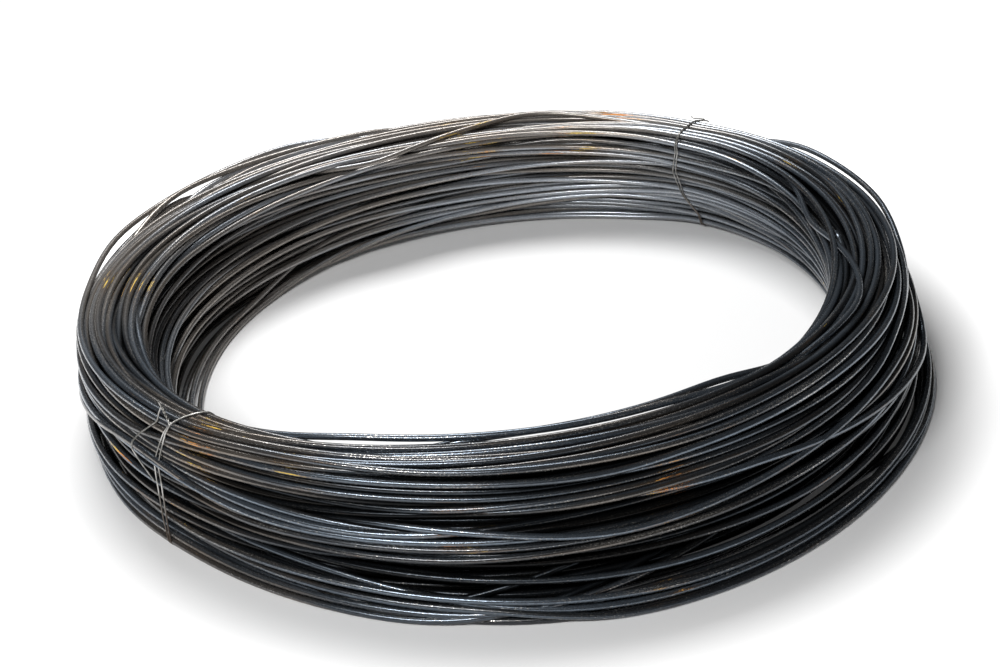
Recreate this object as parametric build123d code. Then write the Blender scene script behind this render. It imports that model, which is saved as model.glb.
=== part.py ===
from build123d import *
import os
from math import cos, radians, sin

# A coil of hot-rolled wire rod lying flat, eye to the sky, held by two ties.
# The coil is one turned solid, with a ridge round it for each pair of turns at its surface.
# Each tie is thin wire passed twice round the bundle, with its ends twisted together on top.
# Origin: centre of the eye, on the floor. +Z up along the eye. Millimetres and degrees.

# Bundle of turns. The widths are those of its four-sided section before the corners are rounded
rod_diameter = 6.5
eye_diameter = 712.0
base_width = 112.0
top_width = 75.0
coil_height = 142.0
base_corner_radius = 15.0
top_corner_radius = 23.0
turn_spacing = 9.8  # from one surface turn to the next, for they lie loosely
turns_in_ridge = 2
bearing_width = 1.6  # of a proud turn, which lies on the floor, under a coil or against a post

# Ties
tie_diameter = 1.6
tie_sides = 8  # the thin wire is drawn with flats
tie_strand_gap = 1.6  # between the two passes of one tie
tie_clearance = 0.3
crest_clearance = 0.3  # from the floor of a tie's notch down to the turns that aren't proud
front_tie_angle = 224.0  # from +X about +Z
rear_tie_angle = 52.0
twist_length = 22.0
twist_turns = 2.0
twist_steps = 8  # straight stretches in one turn of the twist
twist_bite = 0.15  # how far the two twisted ends press into each other
front_twist_lean = 24.0  # from upright, towards the outside
rear_twist_lean = 60.0

# Worked out from the sizes above
eye_radius = eye_diameter / 2
groove_depth = rod_diameter
ridge_spacing = turns_in_ridge * turn_spacing
tie_radius = tie_diameter / 2
tie_inset = tie_clearance + tie_radius
notch_depth = tie_inset + tie_radius + tie_clearance
set_back = notch_depth + crest_clearance  # of the other turns, behind the proud ones
strand_offset = (tie_strand_gap + tie_diameter) / 2
notch_half_width = strand_offset + tie_radius + tie_clearance
section_normal = Vector(0, -1, 0)  # the outline runs anticlockwise about it


def bundle_section(inset=0.0):
    """Section of the bundle at +X in the XZ plane, smaller all round by the inset."""
    sides = Polyline(
        (eye_radius, 0, 0),
        (eye_radius + base_width, 0, 0),
        (eye_radius + top_width, 0, coil_height),
        (eye_radius, 0, coil_height),
        close=True,
    )
    section = make_face(sides)
    section = fillet(section.vertices().group_by(Axis.Z)[0], base_corner_radius)
    section = fillet(section.vertices().group_by(Axis.Z)[-1], top_corner_radius)
    return offset(section, amount=-inset) if inset else section


def section_edges():
    return bundle_section().face().outer_wire().order_edges()


def ridge_count(edge):
    return max(1, round(edge.length / ridge_spacing))


def point_at(edge, share, inset):
    """Point at a share of an edge's length, this far inside the section."""
    outward = edge.tangent_at(share).cross(section_normal)
    return edge.position_at(share) - outward * inset


def is_level_or_upright(edge):
    along = edge.tangent_at(0)
    return edge.geom_type == GeomType.LINE and abs(along.X * along.Z) < 1e-6


def ridge_points(edge):
    """Profile points of one edge: for each ridge the groove before it, then its crest."""
    ridges = ridge_count(edge)
    points = []
    for ridge in range(ridges):
        crest_share = (ridge + 0.5) / ridges
        points.append(point_at(edge, ridge / ridges, set_back + groove_depth))
        if is_level_or_upright(edge) and ridge in (0, ridges - 1):
            crest = edge.position_at(crest_share)
            half_bearing = edge.tangent_at(crest_share) * (bearing_width / 2)
            points += [crest - half_bearing, crest + half_bearing]
        else:
            points.append(point_at(edge, crest_share, set_back))
    return points


def tie_notch(angle):
    """Band-shaped cut round the bundle, where a tie presses the proud turns in."""
    around = bundle_section(-rod_diameter) - bundle_section(notch_depth)
    return Rot(0, 0, angle) * extrude(around, notch_half_width, both=True)


def wire_coil():
    points = [point for edge in section_edges() for point in ridge_points(edge)]
    coil = revolve(make_face(Polyline(*points, close=True)), Axis.Z)
    return coil - tie_notch(front_tie_angle) - tie_notch(rear_tie_angle)


def tie_points():
    """Where a tie bends: at both ends of each rounded corner and over the crests between."""
    points = []
    for corner in section_edges():
        if corner.geom_type == GeomType.LINE:
            continue
        ridges = ridge_count(corner)
        crest_shares = [(ridge + 0.5) / ridges for ridge in range(ridges)]
        points += [point_at(corner, share, tie_inset) for share in (0, *crest_shares, 1)]
    return points


def thin_wire(path, start_share):
    """Tie wire along straight stretches, mitred where they meet."""
    start = Plane(path @ start_share, z_dir=path % start_share)
    section = start * RegularPolygon(tie_radius, tie_sides)
    return sweep(section, path=path, transition=Transition.RIGHT)


def twisted_ends():
    """The two ends of a tie wound round each other, upright from the origin."""
    winding_radius = tie_radius - twist_bite / 2
    steps = round(twist_turns * twist_steps)
    ends = []
    for first_angle in (90, 270):
        points = []
        for step in range(steps + 1):
            angle = radians(first_angle + 360 * step / twist_steps)
            height = twist_length * step / steps
            points.append((winding_radius * cos(angle), winding_radius * sin(angle), height))
        ends.append(thin_wire(Polyline(*points), 0))
    return ends[0] + ends[1]


def tie_wire(angle, lean):
    path = Polyline(*tie_points(), close=True)
    first_stretch_middle = path.edges()[0].length / path.length / 2
    strand = thin_wire(path, first_stretch_middle)
    top_stretch = path.edges().sort_by(Axis.Z)[-1]
    root = tuple(top_stretch.vertices().sort_by(Axis.X)[-1])
    across = (cos(radians(lean)), 0, -sin(radians(lean)))
    upward = (sin(radians(lean)), 0, cos(radians(lean)))
    twist = Plane(root, x_dir=across, z_dir=upward) * twisted_ends()
    tie = Pos(0, strand_offset, 0) * strand + Pos(0, -strand_offset, 0) * strand + twist
    return Rot(0, 0, angle) * tie


os.makedirs("parts", exist_ok=True)
export_step(wire_coil(), "parts/wire_coil.step")
export_step(tie_wire(front_tie_angle, front_twist_lean), "parts/tie_wire_front.step")
export_step(tie_wire(rear_tie_angle, rear_twist_lean), "parts/tie_wire_rear.step")
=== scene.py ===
import math

import bpy
import numpy as np
from mathutils import Matrix, Vector


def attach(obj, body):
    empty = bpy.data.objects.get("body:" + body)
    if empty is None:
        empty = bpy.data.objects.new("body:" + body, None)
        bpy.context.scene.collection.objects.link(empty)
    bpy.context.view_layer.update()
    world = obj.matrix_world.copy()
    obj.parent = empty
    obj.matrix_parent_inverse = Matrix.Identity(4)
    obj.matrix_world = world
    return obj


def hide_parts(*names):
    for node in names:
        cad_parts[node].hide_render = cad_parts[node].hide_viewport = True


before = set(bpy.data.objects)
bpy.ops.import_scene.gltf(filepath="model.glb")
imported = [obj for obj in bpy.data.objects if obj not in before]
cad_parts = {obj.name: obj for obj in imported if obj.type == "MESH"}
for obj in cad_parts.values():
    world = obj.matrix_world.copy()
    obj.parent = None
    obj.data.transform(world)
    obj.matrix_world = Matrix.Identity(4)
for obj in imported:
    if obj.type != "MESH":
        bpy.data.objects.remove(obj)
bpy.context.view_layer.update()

# The rod and how it was wound. Lengths in metres, angles in degrees from +X about +Z
coilRod = {
    "radius": 0.00325,
    "rows": 16,  # of turns in the bundle, from the floor up
    "rowTurns": 10,
    "stations": 160,  # places round one turn where the rod is bent
    "sides": 10,
    "seed": 11,
    "topSquareness": 5.0,  # how square the bundle's section is
    "footSquareness": 11.0,
    "halfWidth": 0.05,  # of the bundle, roughly, to turn a drift into a share of its section
    "halfHeight": 0.07,
    "drifts": ((0.0105, 0.2, 1.1), (0.0034, 1.2, 2.9), (0.0006, 3.0, 6.5)),  # size, then waves in a turn
    "rowShift": 0.25,  # of one turn's room, to either side in every other row
    "evenness": 0.65,  # how evenly the turns fill the section
    "fill": 0.985,  # how near the outermost turns come to its edge
    "endTurns": 2,  # at either end of the rod, never led along a chosen path
    "settleSteps": 220,
    "pairsEvery": 10,  # steps between searches for turns that lie near each other
    "pairPush": 0.35,  # share of an overlap that one step takes away
    "hollowPush": 0.5,
    "plainSteps": 10,  # last steps, which spread their pushes less far
    "lastSoftening": 3,
    "pieces": 3,  # lengths that the rod is kept in
}

# Bundle's section at eight places round it, in mm: inner edge low and high, outer edge low and high, height
bundleShape = {
    0: (364, 335, 455, 422, 140),
    45: (404, 358, 460, 442, 144),
    90: (376, 336, 452, 430, 144),
    135: (350, 344, 444, 430, 142),
    180: (336, 379, 459, 450, 140),
    225: (346, 377, 436, 429, 138),
    270: (346, 352, 450, 410, 140),
    315: (348, 347, 448, 406, 142),
}

# Turns that stand off the bundle: first and last angle, ease, then place in the section at either end,
# across and up it, each from -1 to 1
looseRods = [
    (128, 158, 28, (1.34, 1.09), (1.26, 1.00)),
    (114, 146, 28, (1.06, 1.00), (1.20, 1.08)),
    (98, 130, 26, (1.00, 0.92), (1.04, 0.97)),
    (148, 174, 18, (1.20, 0.94), (1.05, 0.64)),
    (118, 140, 24, (1.06, 0.96), (1.12, 0.98)),
    (14, 32, 24, (1.07, 0.88), (1.10, 0.92)),
    (-24, 14, 22, (1.03, -0.98), (1.02, -0.80)),
    (-78, -12, 22, (1.02, -1.0), (1.04, -1.0)),
    (-24, 6, 22, (0.88, -1.0), (0.88, -1.0)),
    (-92, -36, 46, (0.88, -1.0), (0.89, -1.0)),
    (-70, -20, 46, (0.75, -1.0), (0.75, -1.0)),
    (-74, -14, 50, (0.95, -0.905), (0.97, -0.905)),
    (-64, -20, 72, (0.82, -0.905), (0.84, -0.905)),
    (-60, -10, 76, (0.98, -0.81), (1.00, -0.81)),
    (-66, -34, 62, (0.88, -0.58), (0.88, -0.58)),
    (214, 256, 46, (0.99, -1.0), (0.99, -1.0)),
    (204, 246, 44, (0.86, -1.0), (0.86, -1.0)),
    (208, 262, 50, (0.94, -0.905), (0.94, -0.905)),
    (268, 298, 26, (-1.07, 0.97), (-1.22, 0.99)),
    (250, 290, 22, (-1.0, 1.0), (-1.02, 0.99)),
    (148, 204, 30, (-0.98, -1.0), (-1.03, -1.0)),
    (156, 206, 26, (-0.82, -1.0), (-0.83, -1.0)),
    (150, 210, 30, (-0.67, -1.0), (-0.68, -1.0)),
    (152, 208, 30, (-0.90, -0.90), (-0.91, -0.90)),
    (70, 112, 22, (-1.08, -0.98), (-1.02, -0.86)),
    (188, 212, 30, (1.03, 0.05), (1.02, 0.35)),
    (176, 214, 22, (1.02, -0.45), (1.08, 0.45)),
    (330, 366, 24, (0.30, 1.10), (-1.08, 0.80)),
    (84, 116, 24, (0.2, 1.10), (-1.06, 0.9)),
    (284, 330, 34, (1.05, 0.02), (1.08, 0.30)),
    (300, 345, 20, (1.06, 0.35), (1.08, -0.30)),
]

# Open places between the turns that are left to chance, sizes in mm
chanceHollows = {
    "count": 16,
    "level": (-0.55, 0.9),  # from -1 at the floor to 1 on top
    "length": (15, 50),
    "slant": 0.3,
    "size": (2.0, 5.0),
    "ease": 22,  # angle over which any hollow opens
    "lead": 40,  # angle before a hollow that still counts as before it
    "least": 0.001,  # in metres, below which a hollow holds nothing off
}

# Open places between the turns: first and last angle, place at either end and size in mm
hollowPlaces = [
    (240, 300, (1.0, 0.42), (1.0, 0.16), 7.0),
    (266, 292, (1.0, -0.55), (1.0, -0.45), 5.0),
    (258, 286, (1.0, 0.72), (1.0, 0.62), 4.0),
    (292, 335, (1.0, 0.10), (1.0, -0.02), 4.5),
    (225, 250, (1.0, -0.20), (1.0, -0.30), 4.0),
    (168, 208, (-1.0, 0.55), (-1.0, 0.45), 5.5),
    (140, 172, (-1.0, 0.30), (-1.0, 0.10), 5.0),
    (110, 165, (1.0, 0.80), (0.96, 0.80), 6.0),
    (126, 150, (-1.0, -0.35), (-1.0, -0.45), 4.0),
    (344, 372, (1.0, -0.45), (1.0, -0.50), 5.0),
]


tiny = 1e-6  # keeps divisions from zero
leastGap = 1e-5  # between two rod centres


def smoothRound(values, angles):
    # periodic curve through evenly spaced values
    count = len(values)
    waves = np.fft.rfft(values) / count
    result = np.full(len(angles), waves[0].real)
    for order in range(1, count // 2 + 1):
        share = 1 if order == count // 2 else 2
        result += share * (waves[order] * np.exp(1j * order * angles)).real
    return result


def tieWindow(angles):
    # 1 at a tie, falling to 0 at the end of its reach
    window = np.zeros_like(angles)
    for place in (frontTie["angle"], rearTie["angle"]):
        away = (np.degrees(angles) - place + 180) % 360 - 180
        near = np.clip(np.abs(away) / tieWire["pullReach"], 0, 1)
        window = np.maximum(window, np.cos(near * math.pi / 2) ** 2)
    return window


def bundleEdges(angles):
    # the lines that rod centres stay within, at each angle
    keyed = np.array([bundleShape[angle] for angle in sorted(bundleShape)], float) / 1000
    inset = coilRod["radius"]
    window = tieWindow(angles)
    return {
        "innerLow": smoothRound(keyed[:, 0], angles) + inset,
        "innerHigh": smoothRound(keyed[:, 1], angles) + inset,
        "outerLow": smoothRound(keyed[:, 2], angles) - inset,
        "outerHigh": smoothRound(keyed[:, 3], angles) - inset,
        "low": inset + tieWire["room"] * tieWire["radius"] * window,
        "high": smoothRound(keyed[:, 4], angles) - inset,
        "limit": 1 - tieWire["pull"] * window,
    }


def wallsAt(edges, share):
    inner = edges["innerLow"] + (edges["innerHigh"] - edges["innerLow"]) * share
    outer = edges["outerLow"] + (edges["outerHigh"] - edges["outerLow"]) * share
    return inner, outer


def fromSquare(edges, across, up):
    # the square runs from -1 to 1 across the bundle and up it
    share = (up + 1) / 2
    inner, outer = wallsAt(edges, share)
    height = edges["low"] + (edges["high"] - edges["low"]) * share
    return inner + (outer - inner) * (across + 1) / 2, height


def toSquare(edges, radius, height):
    share = (height - edges["low"]) / (edges["high"] - edges["low"])
    inner, outer = wallsAt(edges, share)
    return (radius - inner) / (outer - inner) * 2 - 1, share * 2 - 1


def reachAt(across, up):
    # 1 on the rounded edge of the bundle's square
    power = np.where(up > 0, coilRod["topSquareness"], coilRod["footSquareness"])
    return (np.abs(across) ** power + np.abs(up) ** power) ** (1 / power)


def contain(edges, radius, height):
    across, up = toSquare(edges, radius, height)
    reach = reachAt(across, up)
    shrink = np.minimum(1, edges["limit"] / np.maximum(reach, tiny))
    return fromSquare(edges, across * shrink, up * shrink)


def drift(along, rng, lowest, highest, size, waves=7):
    # slow wander along the rod that never repeats from turn to turn
    result = np.zeros_like(along)
    for wave in range(waves):
        result += np.sin(2 * math.pi * (rng.uniform(lowest, highest) * along + rng.uniform()))
    return result * size * math.sqrt(2 / waves)


def layOrder():
    # where each turn starts in the bundle's square: rows to and fro, from the floor up
    rows, rowTurns = coilRod["rows"], coilRod["rowTurns"]
    places = []
    for row in range(rows):
        columns = range(rowTurns) if row % 2 == 0 else reversed(range(rowTurns))
        for column in columns:
            shift = coilRod["rowShift"] if row % 2 else -coilRod["rowShift"]
            across = (column + 0.5 + shift) / rowTurns * 2 - 1
            up = (row + 0.5) / rows * 2 - 1
            places.append((across, up))
    places.append(places[-1])
    return np.array(places)


def spreadEvenly(across, up, turns, stations):
    # keeps the order of turns from the middle out, and fills the section evenly
    table = reachAt(across, up)[:-1].reshape(turns, stations)
    order = np.argsort(np.argsort(table, axis=0), axis=0)
    even = np.sqrt((order + 0.5) / turns) * coilRod["fill"]
    wanted = coilRod["evenness"] * even + (1 - coilRod["evenness"]) * np.minimum(table, coilRod["fill"])
    change = np.append((wanted / np.maximum(table, tiny)).ravel(), 1.0)
    change[-1] = change[-2]
    return across * change, up * change


def smoothStep(share):
    return share * share * (3 - 2 * share)


def rampWindow(along, begin, end, ease):
    # 1 from begin to end, eased to 0 on either side
    rise = np.clip((along - begin + ease) / ease, 0, 1)
    fall = np.clip((end + ease - along) / ease, 0, 1)
    return smoothStep(np.minimum(rise, fall))


def setLooseRods(edges, radius, height, turns, stations):
    # leads a few turns along chosen paths, and says how firmly each point is held
    held = np.zeros_like(radius)
    taken = set()
    first = coilRod["endTurns"]
    along = np.arange(len(radius)) / stations
    for begin, end, ease, startPlace, endPlace in looseRods:
        middle = (begin + end) / 2 / 360
        station = int(round(middle * stations)) % stations
        want = (np.array(startPlace) + np.array(endPlace)) / 2
        rods = np.arange(first, turns - first) * stations + station
        across, up = toSquare({key: value[rods] for key, value in edges.items()}, radius[rods], height[rods])
        away = np.hypot(across - want[0], up - want[1])
        away[[rod in taken for rod in range(len(rods))]] = np.inf
        best = int(np.argmin(away))
        for near in range(best - 1, best + 2):
            taken.add(near)
        centre = rods[best] / stations
        half = (end - begin) / 2 / 360
        window = rampWindow(along, centre - half, centre + half, ease / 360)
        share = np.clip((along - centre + half) / (2 * half), 0, 1)
        across = startPlace[0] + (endPlace[0] - startPlace[0]) * share
        up = startPlace[1] + (endPlace[1] - startPlace[1]) * share
        leadRadius, leadHeight = fromSquare(edges, across, up)
        radius += window * (leadRadius - radius)
        height += window * (np.maximum(leadHeight, coilRod["radius"]) - height)
        held = np.maximum(held, window)
    return held


def hollowPushes(hollows, radius, height, stations):
    # keeps turns out of the open places between them
    for holeRadius, holeHeight, size in hollows:
        wide = (radius[:-1].reshape(-1, stations) - holeRadius)
        tall = (height[:-1].reshape(-1, stations) - holeHeight)
        away = np.maximum(np.hypot(wide, tall), leastGap)
        room = size + coilRod["radius"] * (size > chanceHollows["least"])
        push = coilRod["hollowPush"] * np.maximum(room - away, 0) / away
        radius[:-1] += (push * wide).ravel()
        height[:-1] += (push * tall).ravel()


def openHollows(rng, stations):
    # open places along the bundle's faces: the chosen ones and some at random
    angles = 2 * math.pi * np.arange(stations) / stations
    edges = bundleEdges(angles)
    chosen = list(hollowPlaces)
    for extra in range(chanceHollows["count"]):
        face = rng.uniform(-1, 1)
        begin = rng.uniform(0, 360)
        level = rng.uniform(*chanceHollows["level"])
        across = 1.0 if face > 0 else -1.0
        end = begin + rng.uniform(*chanceHollows["length"])
        endLevel = level + rng.uniform(-chanceHollows["slant"], chanceHollows["slant"])
        chosen.append((begin, end, (across, level), (across, endLevel), rng.uniform(*chanceHollows["size"])))
    hollows = []
    for begin, end, startPlace, endPlace, size in chosen:
        away = (np.degrees(angles) - begin + chanceHollows["lead"]) % 360 - chanceHollows["lead"]
        window = rampWindow(away, 0, end - begin, chanceHollows["ease"])
        share = np.clip(away / (end - begin), 0, 1)
        across = startPlace[0] + (endPlace[0] - startPlace[0]) * share
        up = startPlace[1] + (endPlace[1] - startPlace[1]) * share
        holeRadius, holeHeight = fromSquare(edges, across, up)
        hollows.append((holeRadius, holeHeight, window * size / 1000))
    return hollows


def windTurns():
    rng = np.random.default_rng(coilRod["seed"])
    stations = coilRod["stations"]
    places = layOrder()
    turns = len(places) - 1
    along = np.arange(turns * stations + 1) / stations
    edges = bundleEdges(2 * math.pi * along)
    turn = np.minimum(along.astype(int), turns - 1)
    share = smoothStep(along - turn)
    start = places[turn] * (1 - share[:, None]) + places[turn + 1] * share[:, None]
    across, up = start[:, 0], start[:, 1]
    for size, low, high in coilRod["drifts"]:
        across = across + drift(along, rng, low, high, size) / coilRod["halfWidth"]
        up = up + drift(along, rng, low, high, size) / coilRod["halfHeight"]
    across, up = spreadEvenly(across, up, turns, stations)
    radius, height = fromSquare(edges, across, up)
    radius, height = contain(edges, radius, height)
    held = setLooseRods(edges, radius, height, turns, stations)
    hollows = openHollows(rng, stations)
    return settle(edges, radius, height, turns, stations, held, hollows)


def closePairs(radius, height, turns, stations, reach):
    # pairs of turns that lie near each other at the same station
    first, second = [], []
    for station in range(stations):
        rods = np.arange(turns) * stations + station
        away = np.hypot(radius[rods][:, None] - radius[rods], height[rods][:, None] - height[rods])
        one, other = np.nonzero(np.triu(away < reach, 1))
        first.append(rods[one])
        second.append(rods[other])
    return np.concatenate(first), np.concatenate(second)


def easeAlong(values):
    # moves each place half way to the middle of its neighbours
    values[1:-1] += 0.5 * ((values[:-2] + values[2:]) / 2 - values[1:-1])


def settle(edges, radius, height, turns, stations, held, hollows):
    # pushes turns apart where they overlap, and spreads each push along the rod
    touching = 2 * coilRod["radius"]
    startRadius, startHeight = radius.copy(), height.copy()
    free = 1 - held
    for step in range(coilRod["settleSteps"]):
        if step % coilRod["pairsEvery"] == 0:
            first, second = closePairs(radius, height, turns, stations, 2 * touching)
        wide, tall = radius[second] - radius[first], height[second] - height[first]
        away = np.maximum(np.hypot(wide, tall), leastGap)
        push = coilRod["pairPush"] * np.maximum(touching - away, 0) / away
        for values, gap in ((radius, wide), (height, tall)):
            moved = np.bincount(second, push * gap, len(values)) - np.bincount(first, push * gap, len(values))
            values += moved * free
        heldRadius, heldHeight = radius.copy(), height.copy()
        hollowPushes(hollows, radius, height, stations)
        contained = contain(edges, radius, height)
        radius = heldRadius + free * (contained[0] - heldRadius)
        height = heldHeight + free * (contained[1] - heldHeight)
        passes = 2 if step < coilRod["settleSteps"] - coilRod["plainSteps"] else 1
        for values, begin in ((radius, startRadius), (height, startHeight)):
            shift = values - begin
            for again in range(passes):
                easeAlong(shift)
            values[:] = begin + shift * free
    for again in range(coilRod["lastSoftening"]):
        for values in (radius, height):
            easeAlong(values)
    height = np.maximum(height, coilRod["radius"])
    away = np.hypot(radius[second] - radius[first], height[second] - height[first])
    overlap = np.maximum(touching - away, 0) * 1000
    print("turns settled: widest overlap", round(overlap.max(), 2), "mm, share over half a millimetre",
          round((overlap > 0.5).mean(), 3))
    angles = np.arange(len(radius)) * 2 * math.pi / stations
    return np.stack([radius * np.cos(angles), radius * np.sin(angles), height], 1)


def levelSides(step):
    side = np.cross(step, (0, 0, 1.0))
    return side / np.linalg.norm(side, axis=1)[:, None]


def carriedSides(step):
    # sides for wire that also runs upright, each turned on from the one before
    aslant = (0.31, 0.52, 0.79)  # any direction that the wire's first stretch doesn't run in
    sides = [np.cross(step[0], aslant)]
    for direction in step:
        side = sides[-1] - direction * np.dot(sides[-1], direction)
        sides.append(side / np.linalg.norm(side))
    return np.array(sides[1:])


def travelledAlong(points):
    # length of the line from its first point to each one
    return np.concatenate([[0], np.cumsum(np.linalg.norm(np.diff(points, axis=0), axis=1))])


def roundBar(name, centres, radius, sides, findSides, lengthStart=0.0):
    # a closed round bar along a line of points, with its length and girth as UV
    step = np.gradient(centres, axis=0)
    step /= np.linalg.norm(step, axis=1)[:, None]
    side = findSides(step)
    over = np.cross(side, step)
    turn = 2 * math.pi * np.arange(sides) / sides
    rings = centres[:, None] + radius * (
        side[:, None] * np.cos(turn)[None, :, None] + over[:, None] * np.sin(turn)[None, :, None])
    count = len(centres)
    ring, corner = np.meshgrid(np.arange(count - 1), np.arange(sides), indexing="ij")
    ring, corner = ring.ravel(), corner.ravel()
    after = (corner + 1) % sides
    quads = np.stack([ring * sides + corner, (ring + 1) * sides + corner,
                      (ring + 1) * sides + after, ring * sides + after], 1)[:, ::-1]
    caps = [list(range(sides)), list(range((count - 1) * sides, count * sides))[::-1]]
    corners = np.concatenate([quads.ravel(), caps[0], caps[1]]).astype(np.int32)
    capStart = len(quads) * 4
    starts = np.concatenate([np.arange(len(quads)) * 4, [capStart, capStart + sides]]).astype(np.int32)
    mesh = bpy.data.meshes.new(name)
    mesh.vertices.add(count * sides)
    mesh.vertices.foreach_set("co", rings.astype(np.float32).ravel())
    mesh.loops.add(len(corners))
    mesh.loops.foreach_set("vertex_index", corners)
    mesh.polygons.add(len(starts))
    mesh.polygons.foreach_set("loop_start", starts)
    mesh.update(calc_edges=True)
    mesh.validate()
    travelled = lengthStart + travelledAlong(centres)
    behind, ahead = travelled[ring], travelled[ring + 1]
    alongQuad = np.stack([behind, ahead, ahead, behind], 1)[:, ::-1]
    girthQuad = np.stack([corner, corner, corner + 1, corner + 1], 1)[:, ::-1] / sides
    uvs = np.zeros((len(corners), 2), np.float32)
    uvs[:capStart, 0] = alongQuad.ravel()
    uvs[:capStart, 1] = girthQuad.ravel()
    uvs[capStart:capStart + sides, 0] = travelled[0]
    uvs[capStart + sides:, 0] = travelled[-1]
    layer = mesh.uv_layers.new(name="rodLength")
    layer.data.foreach_set("uv", uvs.ravel())
    mesh.polygons.foreach_set("use_smooth", np.arange(len(starts)) < len(quads))
    bar = bpy.data.objects.new(name, mesh)
    bpy.context.scene.collection.objects.link(bar)
    return bar, travelled[-1]


def markDepth(bar):
    # how near each point lies to the face of the bundle, 1 on the face itself
    mesh = bar.data
    places = np.empty(len(mesh.vertices) * 3, np.float32)
    mesh.vertices.foreach_get("co", places)
    places = places.reshape(-1, 3).astype(float)
    edges = bundleEdges(np.arctan2(places[:, 1], places[:, 0]))
    across, up = toSquare(edges, np.hypot(places[:, 0], places[:, 1]), places[:, 2])
    layer = mesh.attributes.new("nearness", "FLOAT", "POINT")
    layer.data.foreach_set("value", reachAt(across, up).astype(np.float32))


def makeCoil(finish, centres):
    total = len(centres) - 1
    length = 0.0
    for piece in range(coilRod["pieces"]):
        begin = total * piece // coilRod["pieces"]
        end = total * (piece + 1) // coilRod["pieces"]
        bar, length = roundBar(f"wireRod{piece + 1}", centres[begin:end + 1],
                               coilRod["radius"], coilRod["sides"], levelSides, length)
        bar.data.materials.append(finish)
        markDepth(bar)
        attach(bar, "root")
        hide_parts("wire_coil")
    print("coil wound:", round(length, 1), "m of rod")


# Each tie passes twice round the bundle, from its twist inwards over the top and back up the outside.
# Angles are at shares of the way round, splits are how far apart the two passes lie there in mm, and
# twist and tips are in mm along the coil, outwards and up, from where the twist leaves the bundle
tieWire = {
    "radius": 0.0008,
    "sides": 8,
    "step": 0.0011,  # between its bends
    "pull": 0.07,  # how far it draws the bundle in
    "pullReach": 14.0,  # angle over which it does
    "room": 2.2,  # of its radius, left under the bundle
    "hullStep": 3,  # angle between the places where it touches the bundle
    "twistTurns": 2.5,
    "twistPoints": 40,
    "windingRadius": 0.92,  # of its own radius, so that the two ends press together
    "trim": 4,  # points cut off where a pass meets the twist
    "aroundSoftening": 5,
    "firstSoftening": 3,
    "lastSoftening": 9,
}
frontTie = {
    "angle": 224.0,
    "start": 52.0,  # direction of the twist's place in the section, from outwards to up
    "angles": ((0, 223.4), (0.14, 225.4), (0.24, 223.0), (0.34, 221.4), (0.42, 222.0), (0.62, 221.4),
               (0.72, 220.9), (0.88, 220.9), (1, 223.4)),
    "splits": ((0, 0.8), (0.16, 1.0), (0.45, 3.0), (0.62, 1.6), (0.72, 6.5), (0.84, 8.0), (0.95, 4.0),
               (1, 0.8)),
    "twist": (-9.0, 0.0, 16.0),
    "firstTip": ((-11.0, 0.5, 19.5), (-10.0, 1.5, 22.0)),
    "lastTip": ((-12.0, 2.0, 9.0), (-16.0, 3.0, -1.0), (-36.0, 13.0, -17.0), (-40.0, 20.0, -24.0),
                (-41.0, 21.0, -31.0), (-37.0, 16.0, -50.0), (-33.0, 9.5, -70.0)),
}
rearTie = {
    "angle": 52.0,
    "start": 60.0,
    "angles": ((0, 52.8), (0.12, 52.3), (0.20, 52.2), (0.28, 53.4), (0.38, 52.6), (0.46, 50.2), (0.62, 50.0),
               (0.85, 51.8), (1, 52.8)),
    "splits": ((0, 0.8), (0.12, 1.0), (0.20, 3.0), (0.32, 4.5), (0.42, 1.2), (0.60, 3.0),
               (0.9, 2.0), (1, 0.8)),
    "twist": (-11.0, 2.0, 2.0),
    "firstTip": ((-13.0, 3.5, 1.5), (-15.0, 5.0, -0.5)),
    "lastTip": ((-9.0, 1.0, 4.0), (-2.0, 0.0, 4.0), (5.0, 1.0, 2.0), (8.0, 2.0, 4.0)),
}


def resample(points, step):
    # the same line with points at even steps
    points = np.array(points, float)
    travelled = travelledAlong(points)
    count = max(2, int(round(travelled[-1] / step)) + 1)
    even = np.linspace(0, travelled[-1], count)
    return np.stack([np.interp(even, travelled, points[:, axis]) for axis in range(points.shape[1])], 1)


def softenLine(points, passes):
    points = points.copy()
    for again in range(passes):
        easeAlong(points)
    return points


def bundleHull(centres, tie):
    # the taut line round all rods at the tie's angle, as radius and height, from the twist inwards
    stations = coilRod["stations"]
    turns = (len(centres) - 1) // stations
    place = (np.arange(turns) + tie["angle"] / 360) * stations
    before = place.astype(int)
    share = (place - before)[:, None]
    rods = centres[before] * (1 - share) + centres[before + 1] * share
    section = np.stack([np.hypot(rods[:, 0], rods[:, 1]), rods[:, 2]], 1)
    reach = coilRod["radius"] + tieWire["radius"]
    line = []
    for degrees in range(0, 361, tieWire["hullStep"]):
        direction = math.radians(tie["start"] + degrees)
        outward = np.array((math.cos(direction), math.sin(direction)))
        line.append(section[np.argmax(section @ outward)] + outward * reach)
    return resample(line, tieWire["step"])


def atAngle(radius, height, degrees, aside):
    angle = math.radians(degrees)
    return np.array((radius * math.cos(angle) - aside * math.sin(angle),
                     radius * math.sin(angle) + aside * math.cos(angle), height))


def tiePass(hull, tie, side):
    # one pass round the bundle, on one side of the tie's middle line
    shares = np.linspace(0, 1, len(hull))
    degrees = np.interp(shares, *zip(*tie["angles"]))
    split = np.interp(shares, *zip(*tie["splits"])) / 2 / 1000 * side
    return [atAngle(radius, max(height, tieWire["radius"]), angle, aside)
            for (radius, height), angle, aside in zip(hull, degrees, split)]


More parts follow.
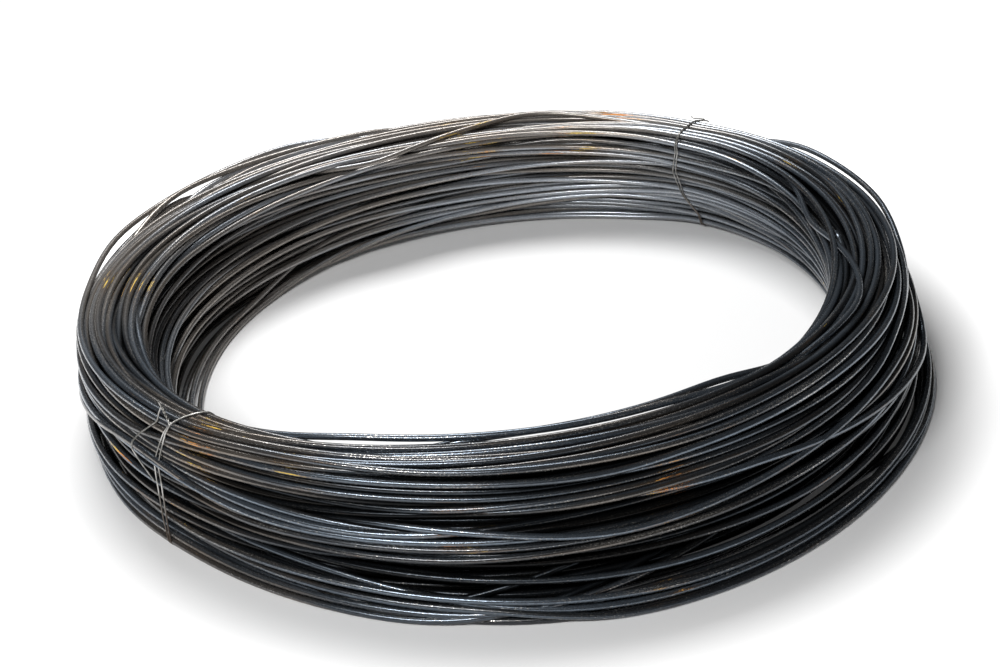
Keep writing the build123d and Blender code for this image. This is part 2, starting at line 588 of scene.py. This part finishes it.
def makeTie(name, node, centres, tie, finish):
    hull = bundleHull(centres, tie)
    foot = atAngle(hull[0][0], hull[0][1], tie["angles"][0][1], 0)
    turned = math.radians(tie["angles"][0][1])
    alongCoil = (-math.sin(turned), math.cos(turned), 0)
    outwards = (math.cos(turned), math.sin(turned), 0)
    tieAxes = np.array((alongCoil, outwards, (0, 0, 1.0)))

    def fromFoot(place):
        return foot + np.array(place) / 1000 @ tieAxes

    axis = fromFoot(tie["twist"]) - foot
    reach = np.linalg.norm(axis)
    axis /= reach
    side = np.cross(axis, outwards)
    side /= np.linalg.norm(side)
    over = np.cross(axis, side)
    winding = []
    for first in (0, math.pi):
        share = np.linspace(0, 1, tieWire["twistPoints"])
        angle = first + 2 * math.pi * tieWire["twistTurns"] * share
        around = side * np.cos(angle)[:, None] + over * np.sin(angle)[:, None]
        winding.append(foot + axis * (share * reach)[:, None]
                       + tieWire["windingRadius"] * tieWire["radius"] * around)
    firstTip = [fromFoot(place) for place in tie["firstTip"]]
    lastTip = [fromFoot(place) for place in tie["lastTip"]]
    around = tiePass(hull, tie, 1) + tiePass(hull, tie, -1)
    around = softenLine(resample(around, tieWire["step"]), tieWire["aroundSoftening"])
    around[:, 2] = np.maximum(around[:, 2], tieWire["radius"])
    around = around[tieWire["trim"]:-tieWire["trim"]]
    lead = softenLine(resample([winding[0][-1]] + firstTip, tieWire["step"]), tieWire["firstSoftening"])
    tail = softenLine(resample([winding[1][-1]] + lastTip, tieWire["step"]), tieWire["lastSoftening"])
    path = list(lead[::-1]) + list(winding[0][::-1]) + list(around) + list(winding[1]) + list(tail)
    path = softenLine(resample(path, tieWire["step"]), 1)
    bar, length = roundBar(name, path, tieWire["radius"], tieWire["sides"], carriedSides)
    bar.data.materials.append(finish)
    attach(bar, "root")
    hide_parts(node)
    print(name, "made:", round(length, 2), "m of wire, twist at", np.round(foot, 3))


def newMaterial(name):
    material = bpy.data.materials.new(name)
    material.use_nodes = True
    return material, material.node_tree.nodes, material.node_tree.links


def newGroup(name, inputs, outputs):
    group = bpy.data.node_groups.new(name, "ShaderNodeTree")
    for title, kind, value in inputs:
        socket = group.interface.new_socket(title, in_out="INPUT", socket_type=kind)
        if value is not None:
            socket.default_value = value
    for title, kind in outputs:
        group.interface.new_socket(title, in_out="OUTPUT", socket_type=kind)
    begin = group.nodes.new("NodeGroupInput")
    end = group.nodes.new("NodeGroupOutput")
    return group, begin.outputs, end.inputs


def useGroup(tree, group, values):
    node = tree.nodes.new("ShaderNodeGroup")
    node.node_tree = group
    for title, value in values.items():
        if isinstance(value, bpy.types.NodeSocket):
            tree.links.new(value, node.inputs[title])
        else:
            node.inputs[title].default_value = value
    return node.outputs


def doMaths(tree, operation, first, second=0.0, third=None):
    node = tree.nodes.new("ShaderNodeMath")
    node.operation = operation
    for place, value in enumerate((first, second, third)):
        if isinstance(value, bpy.types.NodeSocket):
            tree.links.new(value, node.inputs[place])
        elif value is not None:
            node.inputs[place].default_value = value
    return node.outputs[0]


def stretch(tree, vector, scale):
    node = tree.nodes.new("ShaderNodeVectorMath")
    node.operation = "MULTIPLY"
    tree.links.new(vector, node.inputs[0])
    node.inputs[1].default_value = scale
    return node.outputs[0]


def noiseAt(tree, vector, scale, detail=2.0, roughness=0.5):
    node = tree.nodes.new("ShaderNodeTexNoise")
    tree.links.new(vector, node.inputs["Vector"])
    node.inputs["Scale"].default_value = scale
    node.inputs["Detail"].default_value = detail
    node.inputs["Roughness"].default_value = roughness
    return node.outputs["Fac"]


def ramp(tree, value, low, high, bottom=0.0, top=1.0):
    node = tree.nodes.new("ShaderNodeMapRange")
    node.interpolation_type = "SMOOTHSTEP"
    tree.links.new(value, node.inputs["Value"])
    for title, amount in (("From Min", low), ("From Max", high), ("To Min", bottom), ("To Max", top)):
        node.inputs[title].default_value = amount
    return node.outputs["Result"]


def blendColours(tree, share, first, second):
    node = tree.nodes.new("ShaderNodeMix")
    node.data_type = "RGBA"
    pairs = ((node.inputs["Factor"], share), (node.inputs[6], first), (node.inputs[7], second))
    for socket, value in pairs:
        if isinstance(value, bpy.types.NodeSocket):
            tree.links.new(value, socket)
        else:
            socket.default_value = value
    return node.outputs[2]


def makeWrapGroup():
    # length along the wire, with its girth bent into a ring so that no seam shows
    group, given, out = newGroup(
        "wireWrap", (("UV", "NodeSocketVector", None),), (("Length", "NodeSocketVector"),))
    parts = group.nodes.new("ShaderNodeSeparateXYZ")
    group.links.new(given["UV"], parts.inputs[0])
    turn = doMaths(group, "MULTIPLY", parts.outputs["Y"], 2 * math.pi)
    joined = group.nodes.new("ShaderNodeCombineXYZ")
    group.links.new(parts.outputs["X"], joined.inputs["X"])
    group.links.new(doMaths(group, "COSINE", turn), joined.inputs["Y"])
    group.links.new(doMaths(group, "SINE", turn), joined.inputs["Z"])
    group.links.new(joined.outputs[0], out["Length"])
    return group


# Where rust gathers, in metres, and how far it reaches
rustPlaces = [
    ((-0.190, -0.374, 0.132), 0.045),
    ((-0.276, -0.299, 0.138), 0.040),
    ((-0.284, -0.322, 0.113), 0.045),
    ((-0.299, -0.320, 0.068), 0.040),
    ((-0.319, -0.308, 0.039), 0.055),
    ((-0.050, -0.421, 0.092), 0.060),
    ((0.129, -0.402, 0.093), 0.045),
    ((0.123, -0.427, 0.021), 0.045),
    ((0.100, 0.346, 0.112), 0.070),
    ((0.160, 0.400, 0.142), 0.080),
    ((-0.020, 0.355, 0.130), 0.080),
    ((-0.030, 0.425, 0.142), 0.080),
    ((-0.289, 0.204, 0.141), 0.045),
    ((-0.399, 0.012, 0.140), 0.060),
    ((-0.389, -0.220, 0.060), 0.050),
    ((-0.365, -0.259, 0.035), 0.045),
    ((0.286, 0.216, 0.139), 0.040),
    ((0.344, 0.180, 0.142), 0.035),
    ((0.355, -0.203, 0.141), 0.030),
]
rustLook = {
    "core": 0.2,  # share of a place's reach that is wholly rusty
    "nearShare": 0.145,
    "regionScale": 5.0,
    "regionEdges": (0.42, 0.70),
    "regionShare": 0.07,
    "streakStretch": (15.0, 1.5, 1.5),
    "fleckScale": 520.0,
    "fleckShare": 0.18,
    "amountShare": 0.2,
    "rustEdges": (0.955, 1.02),
    "stainEdges": (0.80, 1.0),
    "yellowScale": 16.0,
    "yellowEdges": (0.38, 0.52),
}


def makeRustGroup():
    # patches of rust strung out along the wire, and how yellow each one is
    group, given, out = newGroup(
        "rustStreaks",
        (("Place", "NodeSocketVector", None), ("Length", "NodeSocketVector", None),
         ("Amount", "NodeSocketFloat", 0.5)),
        (("Rust", "NodeSocketFloat"), ("Yellow", "NodeSocketFloat"), ("Stain", "NodeSocketFloat")))
    near = None
    for place, reach in rustPlaces:
        away = group.nodes.new("ShaderNodeVectorMath")
        away.operation = "DISTANCE"
        group.links.new(given["Place"], away.inputs[0])
        away.inputs[1].default_value = place
        share = ramp(group, away.outputs["Value"], rustLook["core"] * reach, reach, 1.0, 0.0)
        near = share if near is None else doMaths(group, "MAXIMUM", near, share)
    region = noiseAt(group, given["Place"], rustLook["regionScale"], 3.0)
    region = ramp(group, region, *rustLook["regionEdges"])
    streaks = noiseAt(group, stretch(group, given["Length"], rustLook["streakStretch"]), 1.0, 4.0, 0.62)
    flecks = noiseAt(group, given["Place"], rustLook["fleckScale"], 2.0, 0.6)
    total = doMaths(group, "ADD", doMaths(group, "MULTIPLY", near, rustLook["nearShare"]), streaks)
    total = doMaths(group, "ADD", total, doMaths(group, "MULTIPLY", region, rustLook["regionShare"]))
    total = doMaths(group, "ADD", total, doMaths(group, "MULTIPLY", flecks, rustLook["fleckShare"]))
    total = doMaths(group, "ADD", total, doMaths(group, "MULTIPLY", given["Amount"], rustLook["amountShare"]))
    yellow = noiseAt(group, given["Place"], rustLook["yellowScale"], 1.0)
    group.links.new(ramp(group, total, *rustLook["rustEdges"]), out["Rust"])
    group.links.new(ramp(group, total, *rustLook["stainEdges"]), out["Stain"])
    group.links.new(ramp(group, yellow, *rustLook["yellowEdges"]), out["Yellow"])
    return group


scaleLook = {
    "strandStretch": (1.7, 0.3, 0.3),
    "blueEdges": (0.38, 0.60),
    "regionScale": 3.1,
    "dustAndSheenSlope": (-0.15, 0.85, 0.0),  # the side of the coil with dust and painted sheen lies this way
    "dustAndSheenUnevenness": 0.16,
    "dustAndSheenEdges": (0.12, 0.40),
    "warmSlope": (-0.42, 0.10, 0.0),  # and its browner side this way, which also gets dust and painted sheen
    "warmUnevenness": 0.1,
    "warmEdges": (0.15, 0.25),
    "warmDustAndSheen": 0.75,
    "brownByStrand": -0.6,
    "brownByRegion": 0.9,
    "brownEdges": (0.14, 0.34),
    "speckleStretch": (230.0, 2.6, 2.6),
    "speckleEdges": (0.32, 0.70),
    "fleckStretch": (520.0, 5.0, 5.0),
    "patchStretch": (9.0, 0.8, 0.8),
    "patchShare": 0.55,
    "fleckEdges": (0.90, 0.99),
    "grainScale": 620.0,
    "speckleInGrain": 0.6,
}


def slopeAlong(tree, place, slope):
    # how far a place lies in one direction
    node = tree.nodes.new("ShaderNodeVectorMath")
    node.operation = "DOT_PRODUCT"
    tree.links.new(place, node.inputs[0])
    node.inputs[1].default_value = slope
    return node.outputs["Value"]


def makeScaleGroup():
    # tone of the mill scale, its dust and painted sheen towards the back and left, its fine speckle and the
    # worn paler flecks
    group, given, out = newGroup(
        "scaleTone",
        (("Place", "NodeSocketVector", None), ("Length", "NodeSocketVector", None)),
        (("Blue", "NodeSocketFloat"), ("Brown", "NodeSocketFloat"), ("DustAndSheen", "NodeSocketFloat"),
         ("Speckle", "NodeSocketFloat"), ("Flecks", "NodeSocketFloat"), ("Height", "NodeSocketFloat")))
    look = scaleLook
    strand = noiseAt(group, stretch(group, given["Length"], look["strandStretch"]), 1.0, 3.0, 0.6)
    region = noiseAt(group, given["Place"], look["regionScale"], 2.0)
    group.links.new(ramp(group, strand, *look["blueEdges"]), out["Blue"])
    dustAndSheenSide = slopeAlong(group, given["Place"], look["dustAndSheenSlope"])
    dustAndSheenAt = doMaths(group, "ADD", dustAndSheenSide, doMaths(group, "MULTIPLY", region, look["dustAndSheenUnevenness"]))
    warm = slopeAlong(group, given["Place"], look["warmSlope"])
    warmAt = doMaths(group, "ADD", warm, doMaths(group, "MULTIPLY", region, look["warmUnevenness"]))
    warmDustAndSheen = ramp(group, warmAt, *look["warmEdges"], 0.0, look["warmDustAndSheen"])
    dustAndSheenShare = ramp(group, dustAndSheenAt, *look["dustAndSheenEdges"])
    group.links.new(doMaths(group, "MAXIMUM", dustAndSheenShare, warmDustAndSheen), out["DustAndSheen"])
    brown = doMaths(group, "MULTIPLY", strand, look["brownByStrand"])
    brown = doMaths(group, "ADD", brown, doMaths(group, "MULTIPLY", region, look["brownByRegion"]))
    brown = doMaths(group, "ADD", brown, warm)
    group.links.new(ramp(group, brown, *look["brownEdges"]), out["Brown"])
    fine = noiseAt(group, stretch(group, given["Length"], look["speckleStretch"]), 1.0, 4.0, 0.7)
    group.links.new(ramp(group, fine, *look["speckleEdges"]), out["Speckle"])
    dots = noiseAt(group, stretch(group, given["Length"], look["fleckStretch"]), 1.0, 2.0, 0.7)
    patchy = noiseAt(group, stretch(group, given["Length"], look["patchStretch"]), 1.0, 2.0)
    flecks = doMaths(group, "ADD", dots, doMaths(group, "MULTIPLY", patchy, look["patchShare"]))
    group.links.new(ramp(group, flecks, *look["fleckEdges"]), out["Flecks"])
    grain = noiseAt(group, given["Place"], look["grainScale"], 3.0, 0.6)
    grain = doMaths(group, "ADD", grain, doMaths(group, "MULTIPLY", fine, look["speckleInGrain"]))
    group.links.new(grain, out["Height"])
    return group


rodLook = {
    "steel": ((0.062, 0.066, 0.072, 1), (0.150, 0.182, 0.221, 1)),  # plain and bluer
    # paler tones where dust and painted sheen lie, towards the back and left
    "dustAndSheenSide": ((0.26, 0.26, 0.26, 1), (0.47, 0.51, 0.565, 1)),
    "brown": (0.305, 0.264, 0.224, 1),
    "brownShare": 0.7,
    "dark": (0.020, 0.018, 0.017, 1),
    "darkShare": 0.4,
    "fleck": (0.80, 0.76, 0.70, 1),
    "fleckShare": 0.75,
    "stain": (0.22, 0.125, 0.055, 1),
    "stainShare": 0.5,
    "rust": ((0.74, 0.26, 0.04, 1), (0.90, 0.62, 0.09, 1)),  # orange and yellow
    "paintedShade": (0.004, 0.004, 0.004, 1),  # painted shade between turns, deepest inside the bundle
    "faceEdges": (0.83, 0.99),  # how near the bundle's face the painted shade ends
    # least share of the own colour that is kept where the painted shade is deepest
    "leastUnshaded": 0.12,
    "dustAndSheenUnshaded": 0.6,
    "specular": 0.8,
    "metallic": 0.80,
    "dustAndSheenMetallic": -0.35,
    "roughness": 0.285,
    "speckleRoughness": -0.07,
    "rustRoughness": 0.72,
    "reliefDepth": 0.0004,
    "reliefStrength": 0.07,
}


def makeRodFinish(wrapGroup, rustGroup, scaleGroup):
    material, nodes, links = newMaterial("millScale")
    tree = material.node_tree
    shader = nodes["Principled BSDF"]
    place = nodes.new("ShaderNodeTexCoord").outputs["Object"]
    lengthMap = nodes.new("ShaderNodeUVMap")
    lengthMap.uv_map = "rodLength"
    length = useGroup(tree, wrapGroup, {"UV": lengthMap.outputs["UV"]})["Length"]
    scale = useGroup(tree, scaleGroup, {"Place": place, "Length": length})
    rust = useGroup(tree, rustGroup, {"Place": place, "Length": length, "Amount": 0.5})
    look = rodLook
    steel = blendColours(tree, scale["Blue"], *look["steel"])
    dustAndSheenSide = blendColours(tree, scale["Blue"], *look["dustAndSheenSide"])
    # paler towards the back and left: partly dust, partly painted sheen
    colour = blendColours(tree, scale["DustAndSheen"], steel, dustAndSheenSide)
    brown = doMaths(tree, "MULTIPLY", scale["Brown"], look["brownShare"])
    colour = blendColours(tree, brown, colour, look["brown"])
    dark = doMaths(tree, "MULTIPLY_ADD", scale["Speckle"], -look["darkShare"], look["darkShare"])
    shade = blendColours(tree, dark, colour, look["dark"])
    flecks = doMaths(tree, "MULTIPLY", scale["Flecks"], look["fleckShare"])
    shade = blendColours(tree, flecks, shade, look["fleck"])
    stain = doMaths(tree, "MULTIPLY", rust["Stain"], look["stainShare"])
    shade = blendColours(tree, stain, shade, look["stain"])
    rusty = blendColours(tree, rust["Yellow"], *look["rust"])
    shade = blendColours(tree, rust["Rust"], shade, rusty)
    # painted shade: deeper inside the bundle the base colour goes to near black and the specular level falls,
    # less so where dust and painted sheen lie
    nearness = nodes.new("ShaderNodeAttribute")
    nearness.attribute_name = "nearness"
    unshaded = ramp(tree, nearness.outputs["Fac"], *look["faceEdges"], look["leastUnshaded"], 1.0)
    unshaded = doMaths(tree, "MAXIMUM", unshaded, doMaths(tree, "MULTIPLY", scale["DustAndSheen"], look["dustAndSheenUnshaded"]))
    shade = blendColours(tree, unshaded, look["paintedShade"], shade)
    links.new(shade, shader.inputs["Base Color"])
    links.new(doMaths(tree, "MULTIPLY", unshaded, look["specular"]), shader.inputs["Specular IOR Level"])
    bare = doMaths(tree, "SUBTRACT", 1.0, rust["Rust"])
    sheen = doMaths(tree, "MULTIPLY_ADD", scale["DustAndSheen"], look["dustAndSheenMetallic"], look["metallic"])
    links.new(doMaths(tree, "MULTIPLY", bare, sheen), shader.inputs["Metallic"])
    gloss = doMaths(tree, "MULTIPLY_ADD", scale["Speckle"], look["speckleRoughness"], look["roughness"])
    rustGloss = doMaths(tree, "MULTIPLY", rust["Rust"], look["rustRoughness"])
    links.new(doMaths(tree, "MAXIMUM", gloss, rustGloss), shader.inputs["Roughness"])
    relief = nodes.new("ShaderNodeBump")
    relief.inputs["Distance"].default_value = look["reliefDepth"]
    relief.inputs["Strength"].default_value = look["reliefStrength"]
    links.new(scale["Height"], relief.inputs["Height"])
    links.new(relief.outputs["Normal"], shader.inputs["Normal"])
    return material


tieLook = {
    "steel": ((0.195, 0.19, 0.175, 1), (0.52, 0.51, 0.49, 1)),
    "toneScale": 60.0,
    "toneEdges": (0.40, 0.65),
    "footTone": (0.085, 0.055, 0.038, 1),
    "footToneShare": 0.8,
    "footToneHeights": (0.02, 0.07),  # above the floor, between which the darker, browner tone near the floor ends
    "metallic": 0.85,
    "roughness": 0.34,
}


def makeTieFinish():
    material, nodes, links = newMaterial("tieSteel")
    tree = material.node_tree
    shader = nodes["Principled BSDF"]
    place = nodes.new("ShaderNodeTexCoord").outputs["Object"]
    tone = ramp(tree, noiseAt(tree, place, tieLook["toneScale"], 3.0), *tieLook["toneEdges"])
    low = nodes.new("ShaderNodeSeparateXYZ")
    links.new(place, low.inputs[0])
    # darker and browner towards the floor
    foot = ramp(tree, low.outputs["Z"], *tieLook["footToneHeights"], 1.0, 0.0)
    colour = blendColours(tree, tone, *tieLook["steel"])
    footBlend = doMaths(tree, "MULTIPLY", foot, tieLook["footToneShare"])
    colour = blendColours(tree, footBlend, colour, tieLook["footTone"])
    links.new(colour, shader.inputs["Base Color"])
    shader.inputs["Metallic"].default_value = tieLook["metallic"]
    shader.inputs["Roughness"].default_value = tieLook["roughness"]
    return material


studio = {
    "floorSize": 40,
    "floorRoughness": 0.9,
    "shadeFrom": 0.50,  # distances from the coil's middle: here the floor's own tone starts to fall
    "shadeTo": 0.90,
    "nearTone": 0.90,
    "farTone": 0.26,
    "liftFrom": 0.45,  # and here the white that only the camera and reflections see starts to rise
    "liftTo": 0.64,
    "nearLift": 0.03,
    "farLift": 0.88,
    "airLight": 0.035,
    "lamps": {
        "backLamp": {"place": (-0.36, 0.95, 1.82), "size": (1.3, 0.8), "watts": 39},
        "frontLamp": {"place": (-0.86, -1.68, 1.65), "size": (1.1, 0.20), "watts": 38},
    },
}


def makeFloor():
    bpy.ops.mesh.primitive_plane_add(size=studio["floorSize"], location=(0, 0, 0))
    floor = bpy.context.object
    floor.name = "studioFloor"
    material, nodes, links = newMaterial("studioFloorFinish")
    tree = material.node_tree
    shader = nodes["Principled BSDF"]
    shader.inputs["Roughness"].default_value = studio["floorRoughness"]
    shader.inputs["Specular IOR Level"].default_value = 0.0
    shader.inputs["Emission Color"].default_value = (1, 1, 1, 1)
    away = nodes.new("ShaderNodeVectorMath")
    away.operation = "LENGTH"
    links.new(nodes.new("ShaderNodeTexCoord").outputs["Object"], away.inputs[0])
    tone = ramp(tree, away.outputs["Value"], studio["shadeFrom"], studio["shadeTo"], studio["nearTone"],
                studio["farTone"])
    shade = nodes.new("ShaderNodeCombineColor")
    for channel in range(3):
        links.new(tone, shade.inputs[channel])
    links.new(shade.outputs["Color"], shader.inputs["Base Color"])
    path = nodes.new("ShaderNodeLightPath")
    seen = doMaths(tree, "MAXIMUM", path.outputs["Is Camera Ray"], path.outputs["Is Glossy Ray"])
    lift = ramp(tree, away.outputs["Value"], studio["liftFrom"], studio["liftTo"], studio["nearLift"],
                studio["farLift"])
    links.new(doMaths(tree, "MULTIPLY", seen, lift), shader.inputs["Emission Strength"])
    floor.data.materials.append(material)


def makeAir():
    # weak even light, which the camera alone sees as white
    world = bpy.data.worlds.new("studioAir")
    bpy.context.scene.world = world
    world.use_nodes = True
    nodes, links = world.node_tree.nodes, world.node_tree.links
    sky = nodes["Background"]
    path = nodes.new("ShaderNodeLightPath")
    blend = nodes.new("ShaderNodeMix")
    blend.data_type = "FLOAT"
    blend.inputs["A"].default_value = studio["airLight"]
    blend.inputs["B"].default_value = 1.0
    links.new(path.outputs["Is Camera Ray"], blend.inputs["Factor"])
    links.new(blend.outputs["Result"], sky.inputs["Strength"])
    sky.inputs["Color"].default_value = (1, 1, 1, 1)


def makeLamps():
    # each one faces the coil's middle, on the floor
    for name, values in studio["lamps"].items():
        lamp = bpy.data.lights.new(name, "AREA")
        lamp.shape = "RECTANGLE"
        lamp.size, lamp.size_y = values["size"]
        lamp.energy = values["watts"]
        holder = bpy.data.objects.new(name, lamp)
        holder.location = values["place"]
        holder.rotation_euler = (-Vector(values["place"])).to_track_quat("-Z", "Y").to_euler()
        bpy.context.scene.collection.objects.link(holder)


viewer = {
    "place": (0.003, -1.4305, 0.8133),
    "aim": (-0.0074, -0.0117, 0.0478),
    "roll": -4.8,
    "lens": 53.7,
    "sensor": 36,
}


def makeCamera():
    lens = bpy.data.cameras.new("photoCamera")
    lens.lens = viewer["lens"]
    lens.sensor_width = viewer["sensor"]
    holder = bpy.data.objects.new("photoCamera", lens)
    place, aim = Vector(viewer["place"]), Vector(viewer["aim"])
    holder.location = place
    turned = (aim - place).to_track_quat("-Z", "Y").to_matrix().to_4x4()
    holder.rotation_euler = (turned @ Matrix.Rotation(math.radians(viewer["roll"]), 4, "Z")).to_euler()
    bpy.context.scene.collection.objects.link(holder)
    bpy.context.scene.camera = holder


wrapGroup = makeWrapGroup()
rustGroup = makeRustGroup()
scaleGroup = makeScaleGroup()
print("finishes ready")
rodCentres = windTurns()
makeCoil(makeRodFinish(wrapGroup, rustGroup, scaleGroup), rodCentres)
tieFinish = makeTieFinish()
makeTie("tieFront", "tie_wire_front", rodCentres, frontTie, tieFinish)
makeTie("tieRear", "tie_wire_rear", rodCentres, rearTie, tieFinish)
makeFloor()
makeAir()
makeLamps()
makeCamera()
print("floor, air, lamps and camera set")
bpy.context.scene.view_settings.view_transform = "Standard"
